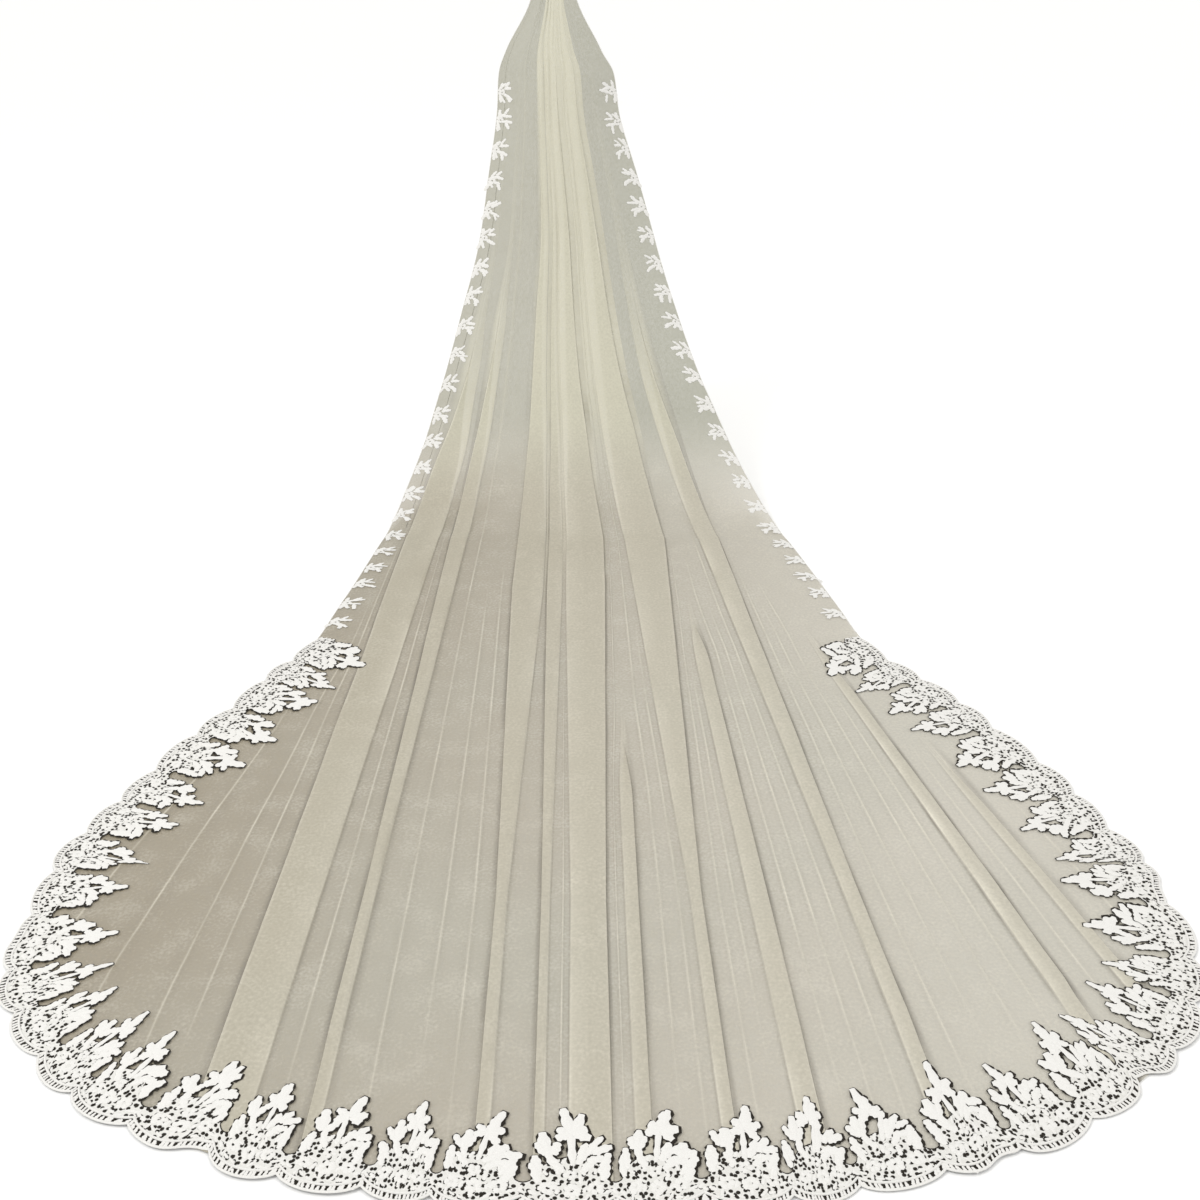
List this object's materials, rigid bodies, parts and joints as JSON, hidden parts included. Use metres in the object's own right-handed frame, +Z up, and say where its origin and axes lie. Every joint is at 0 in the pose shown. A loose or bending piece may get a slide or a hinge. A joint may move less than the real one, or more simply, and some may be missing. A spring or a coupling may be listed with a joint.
{
  "type": "bridal veil",
  "caption": "Long cathedral bridal veil of see-through tulle, hanging from a hair comb and fanning into a floor train edged with scalloped floral lace.",
  "frame": {"origin": "top of the comb's back face, in the middle, where the comb holds the gathered head of the veil in the hair", "axes": "+Z up, the wearer faces +Y, the train runs towards -Y, +X to the wearer's right"},
  "size_m": [2.3125, 3.3228, 1.6513],
  "materials": {
    "tulle": "fine soft net, ivory, see-through",
    "lace": "corded white floral lace",
    "comb": "plain moulded comb"
  },
  "bodies": {
    "root": {"tulle_fall": "tulle", "tulle_train": "tulle", "lace_01": "lace", "lace_02": "lace", "lace_03": "lace", "lace_04": "lace", "lace_05": "lace", "lace_06": "lace", "lace_07": "lace", "lace_08": "lace", "spray_left_01": "lace", "spray_left_02": "lace", "spray_left_03": "lace", "spray_left_04": "lace", "spray_left_05": "lace", "spray_left_06": "lace", "spray_left_07": "lace", "spray_left_08": "lace", "spray_left_09": "lace", "spray_left_10": "lace", "spray_left_11": "lace", "spray_left_12": "lace", "spray_left_13": "lace", "spray_left_14": "lace", "spray_left_15": "lace", "spray_left_16": "lace", "spray_left_17": "lace", "spray_left_18": "lace", "spray_left_19": "lace", "spray_left_20": "lace", "spray_left_21": "lace", "spray_left_22": "lace", "spray_right_01": "lace", "spray_right_02": "lace", "spray_right_03": "lace", "spray_right_04": "lace", "spray_right_05": "lace", "spray_right_06": "lace", "spray_right_07": "lace", "spray_right_08": "lace", "spray_right_09": "lace", "spray_right_10": "lace", "spray_right_11": "lace", "spray_right_12": "lace", "spray_right_13": "lace", "spray_right_14": "lace", "spray_right_15": "lace", "spray_right_16": "lace", "spray_right_17": "lace", "spray_right_18": "lace", "spray_right_19": "lace", "spray_right_20": "lace", "spray_right_21": "lace", "spray_right_22": "lace", "comb": "comb"}
  },
  "joints": []
}
